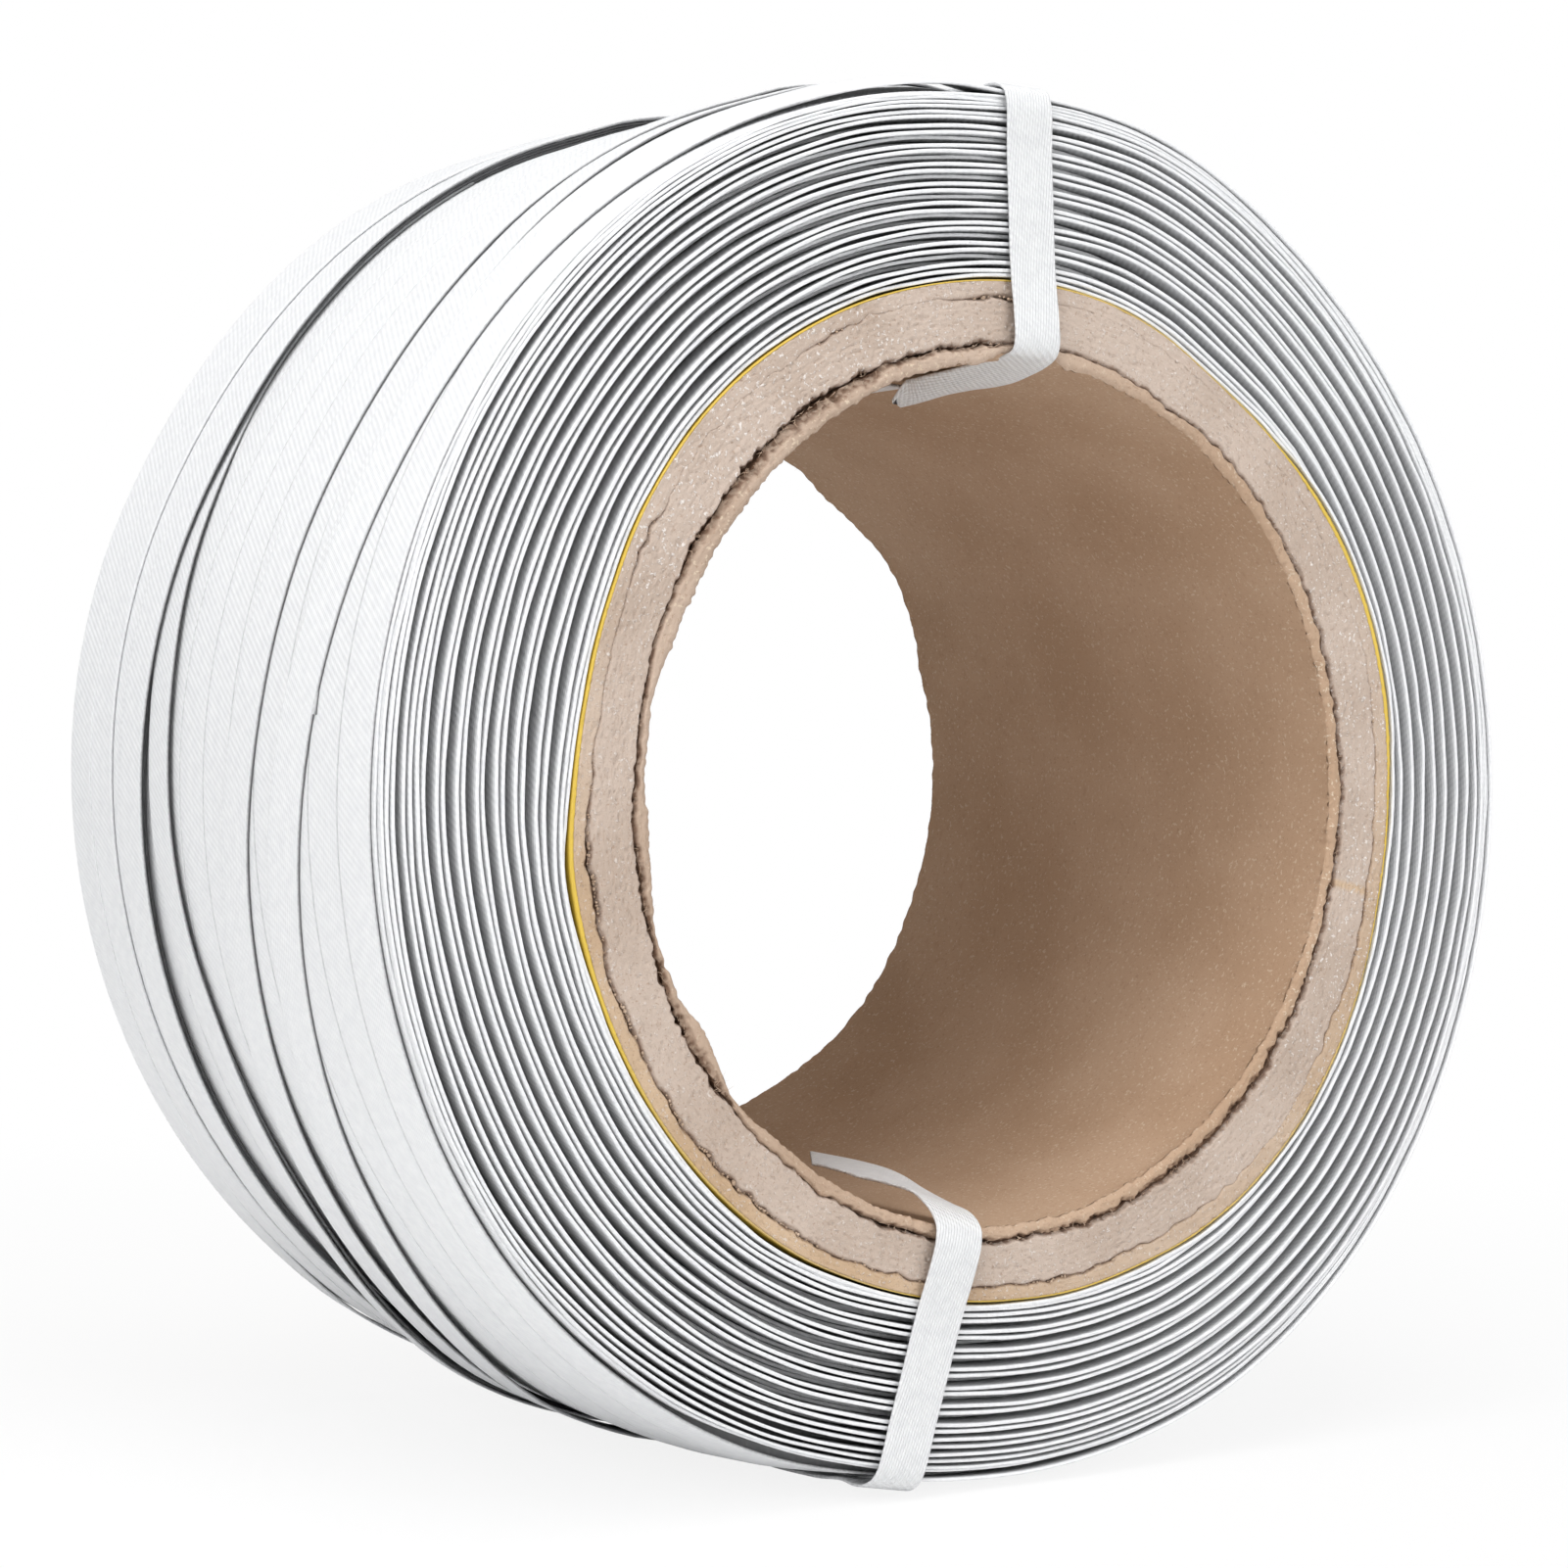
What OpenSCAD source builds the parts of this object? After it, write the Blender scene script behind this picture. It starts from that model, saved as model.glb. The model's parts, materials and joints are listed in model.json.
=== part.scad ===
// Roll of plastic strapping on a cardboard core, held by two tie straps.
// The roll's axis lies along Y, with the front face at -Y and +Z up.
// The origin is the centre of the core's bore, halfway along it.

/* [Core] */
// Diameter of the bore that a dispenser's mandrel goes into
bore_d = 200; // [150:1:300]
// Length of the core, which is also the width of the winding
roll_w = 161.4; // [120:0.2:240]
// Thickness of the kraft lining inside the core
lining_t = 3; // [2.4:0.1:6]
// Thickness of the grey board that makes most of the core
board_t = 11.6; // [6:0.1:20]
// Thickness of the brown ply outside the board
outer_ply_t = 3.4; // [1:0.1:6]
// Thickness of the yellow film between the core and the strap
film_t = 0.4; // [0.2:0.1:1]

/* [Strap] */
// Width of the strap
strap_w = 13; // [9:0.5:16]
// Thickness of the strap
strap_t = 0.7; // [0.5:0.05:1.2]
// Least gap between one outer turn and the next
turn_gap = 0.45; // [0.45:0.05:1]

/* [Winding] */
// Depth of the wound layers at the front, without the outer turns
wind_t = 41.4; // [25:0.2:70]
// How much deeper the winding is at the rear than at the front
flare = 1.5; // [0:0.1:3]
// Height of the extra layers wound on the rear part
raise_t = 2.85; // [1.4:0.05:4]
// Width of those extra layers, from the rear face
raise_w = 47.3; // [30:0.1:75]
// How far the winding hangs to the left of the core at the front
lean_x = 3; // [0:0.1:4]
// How far the winding sits above the core's centre at the rear
rise_z = 5; // [0:0.1:6]
// Number of grooves between proud turns on each face
groove_n = 10; // [5:1:12]
// Depth of those grooves
groove_d = 6.5; // [3:0.1:10]
// Number of turns of strap side by side in each proud ridge
ridge_turns = 2; // [1:1:3]
// Depth of the flat that the roll stands on, cut into the lowest turns
flat_d = 0.5; // [0.1:0.1:1]

/* [Ties] */
// Angle of the top tie at the bore, counted from +X towards +Z
top_bore_a = 90; // [80:0.5:100]
// Angle of the top tie at the rim
top_rim_a = 91.5; // [80:0.5:100]
// Angle of the bottom tie at the bore
bottom_bore_a = 261.5; // [250:0.5:265]
// Angle of the bottom tie at the rim
bottom_rim_a = 259; // [250:0.5:265]
// Width of the tie straps
tie_w = 13; // [9:0.5:16]
// Thickness of the tie straps
tie_t = 0.7; // [0.5:0.05:0.9]
// How far a tie's front end reaches into the bore
tail_l = 46; // [30:1:60]
// Length over which a tie's two ends are welded together
weld_l = 25; // [10:1:28]
// Radius of the bends where a tie turns over an edge, at the middle of its thickness
bend_r = 0.9; // [0.5:0.1:0.9]

/* [Hidden] */
$fn = 72;

SLIDE = 0.05;                       // clearance between pieces that lie on each other
half_w = roll_w / 2;
bore_r = bore_d / 2;
board_r = bore_r + lining_t;
outer_ply_r = board_r + board_t;
film_r = outer_ply_r + outer_ply_t;
pack_r = film_r + film_t;           // inside of the winding
drum_r = pack_r + wind_t;           // outside of the wound layers at the front
raise_y = half_w - raise_w;         // where the extra rear layers begin
ridge_t = ridge_turns * strap_t;

RINGS = 24;                         // rings of the strap in one turn
STEP = 360 / RINGS;
FACET = cos(STEP / 2);              // a facet's distance from the axis over its corner's
first_y = -half_w + strap_w / 2;    // middle of the strap in the foremost turn
turns = floor((roll_w - strap_w) / (strap_w + turn_gap));
corner_n = RINGS * turns - 1;       // the last corner of the outer turns
pitch = (roll_w - strap_w) * RINGS / corner_n;
first_corner_a = 90 + STEP / 2;
END_A = 86.5;                       // the strap's outer end lies just past the top tie
LAST_A = 93.5;                      // and the outer turns go down under it at the rear
BEND_STEPS = 4;                     // points in each bend of a tie

// Share of the way from the front face to the rear one
function along(y) = (y + half_w) / roll_w;
// Centre of the winding at y
function middle(y) = [-lean_x * (1 - along(y)), y, rise_z * along(y)];
// Outside of the wound layers at y, without the extra rear ones
function drum_at(y) = drum_r + flare * along(y);
function clamp01(v) = min(1, max(0, v));

// ---- core -------------------------------------------------------------

module rod(r, l) { rotate([90, 0, 0]) cylinder(h = l, r = r, center = true); }

module tube(r_in, r_out) {
    difference() {
        rod(r_out, roll_w);
        rod(r_in, roll_w + 2);
    }
}

// Shallow seat that a tie pulls into the lining, the whole length of the bore, with the
// core's edges pressed down where the tie bends over them
module tie_seat(a) {
    seat_r = tie_under_r + tie_t / 2 + SLIDE;
    press = bend_r / 2;
    past = 1;
    half_seat = [[0, 0], [seat_r, 0], [seat_r, half_w - press],
                 [seat_r + press + past, half_w + past], [0, half_w + past]];
    rotate([0, -a, 0]) linear_extrude(tie_w + 4 * SLIDE, center = true)
        for (side = [0, 1]) mirror([0, side, 0]) translate([bore_r / 2, 0])
            polygon([for (p = half_seat) [max(0, p[0] - bore_r / 2), p[1]]]);
}

module core_lining() {
    color("#a58b6d") difference() {
        tube(bore_r, board_r);
        tie_seat(top_bore_a);
        tie_seat(bottom_bore_a);
    }
}

module core_board() { color("#c3aa98") tube(board_r, outer_ply_r); }

module core_outer_ply() { color("#b58e62") tube(outer_ply_r, film_r); }

module core_film() { color("#e2c23a") tube(film_r, pack_r); }

// ---- wound strap ------------------------------------------------------

// Solid of revolution that leans with the winding, from y0 to y1
module lean_drum(y0, y1, extra) {
    skin = 0.02;
    hull() for (y = [y0 + skin / 2, y1 - skin / 2])
        translate(middle(y)) rod(drum_at(y) + extra, skin);
}

// One groove in a face: side is -1 at the front and 1 at the rear
module face_groove(i, side) {
    end_r = drum_at(side * half_w) + (side > 0 ? raise_t : 0);
    groove_pitch = (end_r - pack_r - ridge_t) / groove_n;
    r_in = pack_r + ridge_t + i * groove_pitch;
    r_out = pack_r + (i + 1) * groove_pitch;
    off = middle(side * half_w) * (i + 1) / (groove_n + 1);
    translate([off[0], side * half_w, off[2]]) difference() {
        rod(r_out, 2 * groove_d);
        rod(r_in, 2 * groove_d + 2);
    }
}

module strap_pack() {
    color("#e9eaec") difference() {
        union() {
            lean_drum(-half_w, half_w, 0);
            lean_drum(raise_y, half_w, raise_t);
        }
        rod(pack_r, roll_w + 2);
        for (side = [-1, 1], i = [0 : groove_n - 1]) face_groove(i, side);
    }
}

// The outer turns are one strap: u counts turns from its outer end at the front.
function turn_y(u) = first_y + pitch * min(corner_n / RINGS, max(0, u));
// Climb onto the extra rear layers, in about half a turn
function turn_lift(y) = raise_t * clamp01((y - raise_y + strap_w) / (strap_w / 2));
// Distance of the strap's underside from the winding's middle, at a facet. The winding
// leans a little further within the strap's own width.
function turn_r(y) = let (rear = y + strap_w / 2)
    drum_at(rear) + norm(middle(rear) - middle(y) - [0, strap_w / 2, 0]) + turn_lift(y) + SLIDE;

// A flat strap's section, six corners as [across, up], with pointed edges
function section(w, t) = let (e = t / 2)
    [[-w / 2, e], [-w / 2 + e, 0], [w / 2 - e, 0], [w / 2, e], [w / 2 - e, t], [-w / 2 + e, t]];

// Ring of the outer turns at angle a, out along the facet or corner there
function turn_ring(u, a, corner) = let (
        y = turn_y(u),
        r = turn_r(y),
        m = middle(y))
    [for (s = section(strap_w, strap_t))
        let (d = (r + s[1]) / corner)
        [m[0] + d * cos(a), y + s[0], m[2] + d * sin(a)]];

turn_rings = concat(
    [turn_ring(0, END_A, cos(END_A - 90))],
    [for (i = [0 : corner_n])
        turn_ring(i / RINGS, first_corner_a + STEP * i, FACET)],
    [turn_ring(corner_n / RINGS, LAST_A, cos(LAST_A - 90))]);

// Triangles that join rings of six points, closed at both ends
function skin_faces(n) = concat(
    [for (k = [1 : 4]) [0, k + 1, k]],
    [for (i = [0 : n - 2], k = [0 : 5])
        let (a = 6 * i + k, b = 6 * i + (k + 1) % 6)
        each [[a, b, a + 6], [b, b + 6, a + 6]]],
    [for (k = [1 : 4]) let (e = 6 * (n - 1)) [e, e + k, e + k + 1]]);

module strip(rings) {
    polyhedron(points = [for (r = rings) each r], faces = skin_faces(len(rings)));
}

// Least gap of the outer turns to themselves, between rings one turn apart
function seg_gap(p, a, b) = let (
        ab = b - a,
        k = clamp01(((p - a) * ab) / (ab * ab)))
    norm(p - a - k * ab);
function ring_gap(r1, r2) = min([for (p = r1, k = [0 : 5]) seg_gap(p, r2[k], r2[(k + 1) % 6])]);
function least_gap() = min([for (i = [1 : corner_n + 1 - RINGS])
    let (r1 = turn_rings[i], r2 = turn_rings[i + RINGS])
    min(ring_gap(r1, r2), ring_gap(r2, r1))]);

// Lowest point of the outer turns
turns_low_z = min([for (r = turn_rings, p = r) p[2]]);

module strap_outer_turns() {
    echo(least_gap_of_outer_turns = least_gap(), turns = turns);
    color("#f3f4f5") difference() {
        strip(turn_rings);
        translate([0, 0, turns_low_z - drum_r + flat_d])
            cube([2 * drum_r, 2 * roll_w, 2 * drum_r], center = true);
    }
}

// ---- ties -------------------------------------------------------------

// A tie's ends overlap in the bore: the front end lies over the rear one.
tie_over_r = bore_r + SLIDE + tie_t / 2;
tie_under_r = tie_over_r + tie_t + SLIDE;

// Height of the turn with its middle at y above the bore's axis, in the direction a and
// aside from it by x. Facets face every STEP from the axes, and the lowest one counts.
function turn_height(y, a, x) = let (m = middle(y))
    min([for (i = [-1 : 1])
        let (n = STEP * (round(a / STEP) + i))
        (turn_r(y) + strap_t + m[0] * cos(n) + m[2] * sin(n) - x * sin(n - a)) / cos(n - a)]);
// Height of a tie's middle line at y, over turns that end or begin there, at angle a
function tie_height(a, y) = SLIDE + tie_t / 2 + max([for (side = [-1, 1], i = [-6 : 6])
    turn_height(min(-first_y, max(first_y, y + side * strap_w / 2)), a, i * tie_w / 12)]);

// Bends of a tie at the bore's edge and at the rim, as [distance from the axis, y].
// side is 1 at the rear, where the route goes outward, and -1 at the front.
bend_as = [for (i = [0 : BEND_STEPS]) 90 * i / BEND_STEPS];
tie_face = half_w + SLIDE + tie_t / 2;
bend_y = tie_face - bend_r;
function turned(arc, side) = side > 0 ? arc : [for (i = [BEND_STEPS : -1 : 0]) arc[i]];
function bend_in(r, side) =
    turned([for (a = bend_as) [r + bend_r * (1 - cos(a)), side * (bend_y + bend_r * sin(a))]], side);
function bend_out(r, side) =
    turned([for (a = bend_as) [r - bend_r * (1 - sin(a)), side * (bend_y + bend_r * cos(a))]], side);

// Route of a tie's middle line, as [distance from the axis, y]. It starts at the rear
// end's tip, under the front end, and goes round the winding to the front end's tip.
function tie_line(rim_a) = let (
        tail_y = -half_w + tail_l,
        edge_y = half_w - strap_w,
        climb_y = raise_y - strap_w,
        low_y = climb_y - 2 * strap_w)
    concat(
        [[tie_under_r, tail_y - weld_l]],
        bend_in(tie_under_r, 1),
        bend_out(tie_height(rim_a, half_w), 1),
        [[tie_height(rim_a, edge_y), edge_y],
         [tie_height(rim_a, raise_y), raise_y],
         [tie_height(rim_a, climb_y), climb_y - tie_t],
         [tie_height(rim_a, low_y), low_y],
         [tie_height(rim_a, -edge_y), -edge_y]],
        bend_out(tie_height(rim_a, -half_w), -1),
        bend_in(tie_over_r, -1),
        [[tie_over_r, tail_y]]);

// Ring of a tie at point i of its line, mitred where the line turns
function unit(v) = v / norm(v);
function tie_ring(line, i, bore_a, rim_a) = let (
        last = len(line) - 1,
        ahead = unit(line[min(last, i + 1)] - line[min(last - 1, i)]),
        back = unit(line[max(1, i)] - line[max(0, i - 1)]),
        d = unit(ahead + back),
        out = [-d[1], d[0]] / (d * back),
        share = clamp01((line[i][0] - bore_r) / (drum_r - bore_r)),
        a = bore_a + (rim_a - bore_a) * share)
    [for (s = section(tie_w, tie_t))
        let (p = line[i] + out * (s[1] - tie_t / 2))
        [p[0] * cos(a) - s[0] * sin(a), p[1], p[0] * sin(a) + s[0] * cos(a)]];

module tie(bore_a, rim_a) {
    line = tie_line(rim_a);
    strip([for (i = [0 : len(line) - 1]) tie_ring(line, i, bore_a, rim_a)]);
}

module top_tie() { color("#f6f7f8") tie(top_bore_a, top_rim_a); }

module bottom_tie() { color("#f6f7f8") tie(bottom_bore_a, bottom_rim_a); }

core_lining();
core_board();
core_outer_ply();
core_film();
strap_pack();
strap_outer_turns();
top_tie();
bottom_tie();
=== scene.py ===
import json
import math

import bpy
import numpy as np
from mathutils import Matrix, Vector

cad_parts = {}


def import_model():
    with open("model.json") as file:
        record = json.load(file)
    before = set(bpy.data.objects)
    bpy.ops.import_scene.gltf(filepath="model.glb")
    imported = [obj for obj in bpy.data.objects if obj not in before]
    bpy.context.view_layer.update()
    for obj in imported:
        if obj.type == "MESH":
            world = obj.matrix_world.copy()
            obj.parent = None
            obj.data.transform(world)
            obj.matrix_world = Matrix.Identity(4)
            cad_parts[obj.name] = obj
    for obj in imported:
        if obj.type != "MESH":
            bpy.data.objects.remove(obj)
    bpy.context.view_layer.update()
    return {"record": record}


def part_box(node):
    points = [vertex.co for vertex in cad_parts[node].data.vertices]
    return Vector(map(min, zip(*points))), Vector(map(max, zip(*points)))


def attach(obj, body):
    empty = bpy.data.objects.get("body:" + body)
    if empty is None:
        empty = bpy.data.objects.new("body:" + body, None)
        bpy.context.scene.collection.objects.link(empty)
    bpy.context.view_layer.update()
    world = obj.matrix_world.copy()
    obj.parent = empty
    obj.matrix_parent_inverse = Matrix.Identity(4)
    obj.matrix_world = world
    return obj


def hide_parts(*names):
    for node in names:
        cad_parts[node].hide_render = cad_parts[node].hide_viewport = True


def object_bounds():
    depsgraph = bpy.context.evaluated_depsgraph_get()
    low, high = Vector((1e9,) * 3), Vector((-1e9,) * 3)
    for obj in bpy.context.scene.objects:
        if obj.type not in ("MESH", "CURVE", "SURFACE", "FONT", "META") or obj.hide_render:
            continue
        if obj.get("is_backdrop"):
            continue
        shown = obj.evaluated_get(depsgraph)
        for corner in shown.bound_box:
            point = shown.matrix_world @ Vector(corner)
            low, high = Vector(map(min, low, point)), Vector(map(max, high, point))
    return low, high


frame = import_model()

# Roll of plastic strapping on a cardboard core, with two ties. Lengths are in
# millimetres until a mesh is made. Angles are in degrees round the roll's axis,
# from +X towards +Z, and the front face is at -Y.

# ---- sizes ----
MM = 0.001
BORE_R = frame["record"]["mounts"][0]["dims"]["r_mm"]
HALF_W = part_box("core_board")[1].y / MM
LINING_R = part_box("core_lining")[1].x / MM
BOARD_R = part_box("core_board")[1].x / MM
PLY_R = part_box("core_outer_ply")[1].x / MM
CORE_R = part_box("core_film")[1].x / MM
ROLL_W = 2 * HALF_W

STRAP_W = 13.3  # width of the strap, as it lies
STRAP_T = 0.7  # its thickness
LAYER = 0.75  # from one layer of strap to the next
RIM_R = 159.0  # radius of the wound layers at the front face
DRUM_R = 159.8  # their radius just behind it
FLARE = 1.5  # how much more it is at the rear
CROWN = 1.6  # swelling of the winding between its faces
RAISE_T = 2.85  # height of the extra layers on the rear part
LEAN_X = 3.0  # how far the winding hangs to the left at the front
RISE_Z = 5.0  # how far it sits above the core's centre at the rear


# ---- curves and noise ----
def ease(t):
    return t * t * (3 - 2 * t)


def clamp01(t):
    return np.clip(t, 0.0, 1.0)


def hermite(x, v, at):
    """Smooth curve through the points (x, v) that never swings past them."""
    gap = np.diff(x)
    rate = np.diff(v) / gap
    slope = np.zeros_like(v)
    same = rate[:-1] * rate[1:] > 0
    both = rate[:-1] + rate[1:]
    slope[1:-1] = np.where(same, 2 * rate[:-1] * rate[1:] / np.where(same, both, 1), 0)
    i = np.clip(np.searchsorted(x, at, side="right") - 1, 0, len(x) - 2)
    h = gap[i]
    t = (at - x[i]) / h
    start = (1 + 2 * t) * (1 - t) ** 2 * v[i] + t * (1 - t) ** 2 * h * slope[i]
    return start + ease(t) * v[i + 1] + t * t * (t - 1) * h * slope[i + 1]


def through(points, at):
    """Curve through (place, value) points, level beyond both ends."""
    x, v = np.array(points, float).T
    return hermite(x, v, np.clip(at, x[0], x[-1]))


def round_through(points, angles):
    """The same, closed round the roll: places are angles in degrees."""
    x, v = np.array(points, float).T
    x = np.concatenate([x - 360, x, x + 360])
    return hermite(x, np.tile(v, 3), np.mod(angles, 360))


def ripple(angles, low, high, seed):
    """Random wave round the roll, with low to high swings in a turn, about 1 high."""
    draw = np.random.default_rng(seed)
    swings = np.arange(low, high + 1)
    part = draw.normal(size=len(swings)) / np.sqrt(swings)
    phase = draw.uniform(0, 2 * math.pi, len(swings))
    angles = np.asarray(angles, float)
    wave = np.zeros(angles.shape)
    for n, a, p in zip(swings, part, phase):
        wave += a * np.sin(np.radians(angles) * n + p)
    return wave / math.sqrt((part ** 2).sum() / 2)


def run_length(x, y):
    """How far along a line each of its points lies."""
    return np.concatenate([[0], np.cumsum(np.hypot(np.diff(x), np.diff(y)))])


def triples(x, y, z):
    """Three numbers for each point, from arrays that are stretched to one shape."""
    return np.stack(np.broadcast_arrays(x, y, z), -1)


def ring_points(r, turn, y, x0=0.0, z0=0.0):
    """Points at a radius and a turn in radians about the axis at x0 and z0."""
    return triples(x0 + r * np.cos(turn), y, z0 + r * np.sin(turn))


# ---- the winding's shape ----
# Radial swing of the turns at the front face, where the ties pull them in
FRONT_SWING = [(0, 0), (16, -0.3), (36, -0.5), (46, -0.7), (56, -0.3), (66, 0.8), (76, 1.7), (86, 0.7),
    (90, 0.3), (96, 0), (106, 0.7), (116, 1.2), (136, 1.7), (156, 1.6), (206, 1.9), (216, 1.8), (226, 1.1),
    (236, -0.1), (246, -1.5), (256, -2.8), (266, -3), (276, -2.2), (286, -0.9), (296, 0.6), (306, 1.4),
    (316, 1.7), (326, 1.3), (336, 0.8), (346, 0.4)]
# Radial swing of the core's outer edge at the front face
CORE_SWING = [(0, 1.2), (10, 1.6), (20, 1.8), (30, 1.3), (40, 0), (50, -1.5), (60, -2.3), (70, -1),
    (80, -0.3), (100, -0.5), (120, 0.2), (135, 0.8), (150, 0.2), (160, -0.8), (170, -1.1), (180, -0.3),
    (190, 1.3), (200, 1), (220, 0.5), (240, -0.3), (250, -1.2), (260, -1.5), (270, -1.4), (280, -0.5),
    (290, 0.3), (300, 2.1), (310, 3.3), (320, 3.5), (330, 3), (340, 2.2), (350, 1.2)]
# Bulge of the outer layers beside the top tie, and of the slack at the lower left
TOP_BULGE = [(60, 0), (80, 0.5), (88, 0.5), (92, 0.9), (98, 3.4), (103, 3.2), (108, 2.2), (118, 1.8),
    (129, 1), (142, 0), (153, -0.4), (165, 0), (180, 0.2), (215, 0.3), (228, 0.5), (240, 1), (250, 0.9),
    (259, -0.5), (270, -1.2), (290, -0.6), (310, 0)]
# Slack of the front turns beside the lower tie, just behind the front face
LOW_SLACK = [(0, 0), (234, 0), (241, 0.4), (248, 0.7), (252, 0.8), (257, 0.6), (264, 0.2), (274, 0)]
# and of the turns halfway along, further up
LOW_BULGE = [(0, 0), (214, 0), (222, 0.5), (230, 1.5), (240, 2.3), (249, 1.8), (255, 0.9), (262, 0)]


def middle(y):
    """Centre of the winding at y, as x and z."""
    share = (np.asarray(y, float) + HALF_W) / ROLL_W
    return -LEAN_X * (1 - share), RISE_Z * share


def drum_r(angles, y):
    """Outside of the wound layers, from their middle."""
    y = np.asarray(y, float)
    share = clamp01((y + HALF_W) / ROLL_W)
    front = through([(-80.7, 1), (-60, 0.45), (-30, 0.1), (0, 0)], y)
    crown = through([(-80.7, 0), (-65, 0.55), (-45, 0.85), (-10, 1), (10, 1), (34, 0.5), (80.7, 0)], y)
    bulge = through([(-80.7, 0), (-60, 0.75), (-30, 1.2), (0, 1.25), (34, 1.25), (80.7, 1.6)], y)
    slack = through([(-80.7, 0.1), (-73, 1), (-60, 0.9), (-40, 0.5), (-20, 0)], y)
    low = through([(-80.7, 0), (-60, 0.35), (-30, 1), (20, 1), (36, 0.25), (60, 0)], y)
    swing = round_through(FRONT_SWING, angles)
    return (DRUM_R + FLARE * share + (RIM_R - DRUM_R + swing) * front + CROWN * crown
            + round_through(TOP_BULGE, angles) * bulge + round_through(LOW_SLACK, angles) * slack
            + round_through(LOW_BULGE, angles) * low)


def on_drum(angles, y, height):
    """Points at a height over the wound layers."""
    x0, z0 = middle(y)
    return ring_points(drum_r(angles, y) + height, np.radians(angles), y, x0, z0)


# ---- meshes ----
def add_object(name, data):
    obj = bpy.data.objects.new(name, data)
    bpy.context.scene.collection.objects.link(obj)
    return obj


def piece_from(name, points, faces, place, smooth=True):
    """Mesh with its place: three numbers at each point, which its material reads."""
    mesh = bpy.data.meshes.new(name)
    mesh.from_pydata((np.reshape(points, (-1, 3)) * MM).tolist(), [], faces)
    if smooth:
        mesh.polygons.foreach_set("use_smooth", np.ones(len(mesh.polygons), bool))
    spot = mesh.attributes.new("place", "FLOAT_VECTOR", "POINT")
    spot.data.foreach_set("vector", np.asarray(place, np.float32).ravel())
    mesh.validate()
    mesh.update()
    return add_object(name, mesh)


def skin(rings, sides, start=0, loop=False):
    """Faces over rings of points, each closed round its sides, with its ends filled."""
    i = np.arange(rings if loop else rings - 1)[:, None]
    k = np.arange(sides)[None, :]
    j = (i + 1) % rings
    k2 = (k + 1) % sides
    quads = np.stack([i * sides + k, i * sides + k2, j * sides + k2, j * sides + k], -1)
    faces = (quads.reshape(-1, 4) + start).tolist()
    if not loop:
        faces.append([start + n for n in range(sides - 1, -1, -1)])
        faces.append([start + (rings - 1) * sides + n for n in range(sides)])
    return faces


def finish(obj, look, node):
    """Give a piece its material, and let it stand for a CAD node."""
    material, slot = look
    obj.data.materials.append(material)
    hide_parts(node)
    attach(obj, "root")


# Shade is painted on a strap's side edges and underside, for the shadow in the gaps between turns
# A strap's section: share of its width, share of its thickness, and how much painted shade it has there
SECTION = ([(0.0, 0.5, 0.8), (0.006, 0.8, 0.45), (0.018, 1.0, 0.12), (0.035, 1.0, 0.0)]
           + [(v, 1.0, 0.0) for v in (0.2, 0.4, 0.6, 0.8, 0.965)]
           + [(0.982, 1.0, 0.12), (0.994, 0.8, 0.45), (1.0, 0.5, 0.8), (0.994, 0.2, 1.0), (0.98, 0.0, 1.0)]
           + [(v, 0.0, 1.0) for v in (0.75, 0.5, 0.25)]
           + [(0.02, 0.0, 1.0), (0.006, 0.2, 1.0)])


# ---- colours ----
def shade(red, green, blue):
    """Colour as written from 0 to 255, as the linear numbers that a socket takes."""
    parts = []
    for c in (red, green, blue):
        c = c / 255
        parts.append(c / 12.92 if c <= 0.04045 else ((c + 0.055) / 1.055) ** 2.4)
    return (*parts, 1.0)


# ---- shader nodes ----
def add_node(tree, kind, inputs, **settings):
    """Shader node with its settings, and its inputs set to numbers and colours or linked."""
    node = tree.nodes.new("ShaderNode" + kind)
    for label, value in settings.items():
        setattr(node, label, value)
    for label, value in inputs.items():
        if isinstance(value, (int, float, tuple)):
            node.inputs[label].default_value = value
        else:
            tree.links.new(value, node.inputs[label])
    return node


def math_node(tree, operation, *values, clamp=False):
    return add_node(tree, "Math", dict(enumerate(values)), operation=operation, use_clamp=clamp).outputs[0]


def times(tree, *values, clamp=False):
    return math_node(tree, "MULTIPLY", *values, clamp=clamp)


def noise_node(tree, vector, scale, detail=4.0, roughness=0.5):
    inputs = {"Vector": vector, "Scale": scale, "Detail": detail, "Roughness": roughness}
    return add_node(tree, "TexNoise", inputs).outputs["Fac"]


def ramp_node(tree, value, low, high, to_low=0.0, to_high=1.0):
    inputs = {"Value": value, "From Min": low, "From Max": high, "To Min": to_low, "To Max": to_high}
    return add_node(tree, "MapRange", inputs, clamp=True, interpolation_type="SMOOTHSTEP").outputs["Result"]


def mix_node(tree, share, first, second):
    """Colour between two others; 6 and 7 are the inputs that take colours."""
    return add_node(tree, "Mix", {0: share, 6: first, 7: second}, data_type="RGBA").outputs[2]


def split_node(tree, vector):
    return add_node(tree, "SeparateXYZ", {0: vector}).outputs


def join_node(tree, *parts):
    return add_node(tree, "CombineXYZ", dict(enumerate(parts))).outputs[0]


def length_node(tree, vector):
    return add_node(tree, "VectorMath", {0: vector}, operation="LENGTH").outputs["Value"]


def space_node(tree):
    """The point in space."""
    return add_node(tree, "TexCoord", {}).outputs["Object"]


def place_node(tree):
    """The three numbers that piece_from keeps at each point."""
    return add_node(tree, "Attribute", {}, attribute_name="place").outputs["Vector"]


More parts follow.
